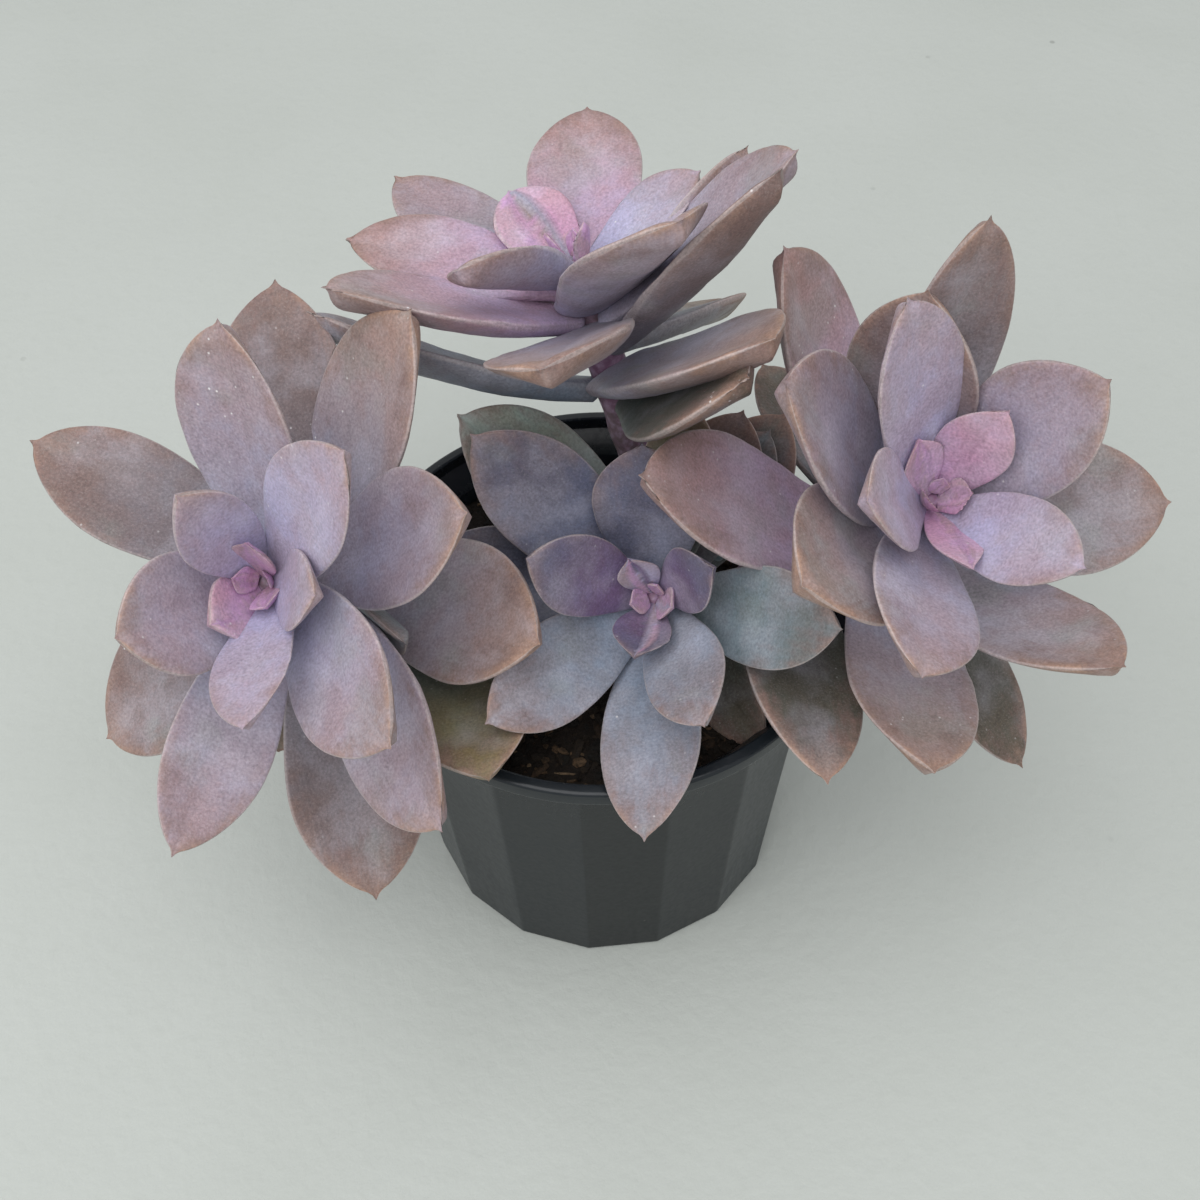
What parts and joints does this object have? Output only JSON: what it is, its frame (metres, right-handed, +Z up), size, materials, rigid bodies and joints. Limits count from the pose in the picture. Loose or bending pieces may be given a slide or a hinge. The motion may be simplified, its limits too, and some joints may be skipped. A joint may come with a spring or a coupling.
{
  "type": "potted succulent plant",
  "caption": "Potted Graptopetalum superbum: rosettes of thick, pointed, dusty mauve leaves on bare stems that lean out of a tapered, faceted black nursery pot.",
  "frame": {"origin": "centre of the pot's base, on the surface it stands on", "axes": "+Z up along the pot's axis; +X to the right and -Y towards the viewer, as seen from the front"},
  "size_m": [0.2162, 0.1466, 0.1736],
  "materials": {
    "pot_plastic": "satin",
    "soil": "matte",
    "stem": "matte",
    "leaf_heart": "matte",
    "leaf_young": "matte",
    "leaf_grown": "matte"
  },
  "bodies": {
    "root": {"back_heart": "leaf_heart", "back_leaf_04": "leaf_young", "back_leaf_05": "leaf_young", "back_leaf_06": "leaf_young", "back_leaf_07": "leaf_young", "back_leaf_08": "leaf_grown", "back_leaf_09": "leaf_grown", "back_leaf_10": "leaf_grown", "back_leaf_11": "leaf_grown", "back_leaf_12": "leaf_grown", "back_leaf_13": "leaf_grown", "back_leaf_14": "leaf_grown", "back_leaf_17": "leaf_grown", "back_stem": "stem", "front_heart": "leaf_heart", "front_leaf_04": "leaf_young", "front_leaf_05": "leaf_young", "front_leaf_06": "leaf_young", "front_leaf_07": "leaf_young", "front_leaf_08": "leaf_grown", "front_leaf_09": "leaf_grown", "front_leaf_10": "leaf_grown", "front_leaf_11": "leaf_grown", "front_stem": "stem", "left_heart": "leaf_heart", "left_leaf_04": "leaf_young", "left_leaf_05": "leaf_young", "left_leaf_06": "leaf_young", "left_leaf_07": "leaf_young", "left_leaf_08": "leaf_grown", "left_leaf_09": "leaf_grown", "left_leaf_10": "leaf_grown", "left_leaf_11": "leaf_grown", "left_leaf_12": "leaf_grown", "left_leaf_13": "leaf_grown", "left_leaf_14": "leaf_grown", "left_leaf_15": "leaf_grown", "left_leaf_16": "leaf_grown", "left_leaf_17": "leaf_grown", "left_leaf_18": "leaf_grown", "left_stem": "stem", "pot": "pot_plastic", "right_heart": "leaf_heart", "right_leaf_04": "leaf_young", "right_leaf_05": "leaf_young", "right_leaf_06": "leaf_young", "right_leaf_07": "leaf_young", "right_leaf_08": "leaf_grown", "right_leaf_09": "leaf_grown", "right_leaf_10": "leaf_grown", "right_leaf_11": "leaf_grown", "right_leaf_12": "leaf_grown", "right_leaf_14": "leaf_grown", "right_leaf_15": "leaf_grown", "right_leaf_16": "leaf_grown", "right_leaf_18": "leaf_grown", "right_leaf_19": "leaf_grown", "right_leaf_20": "leaf_grown", "right_stem": "stem", "soil": "soil"}
  },
  "joints": []
}
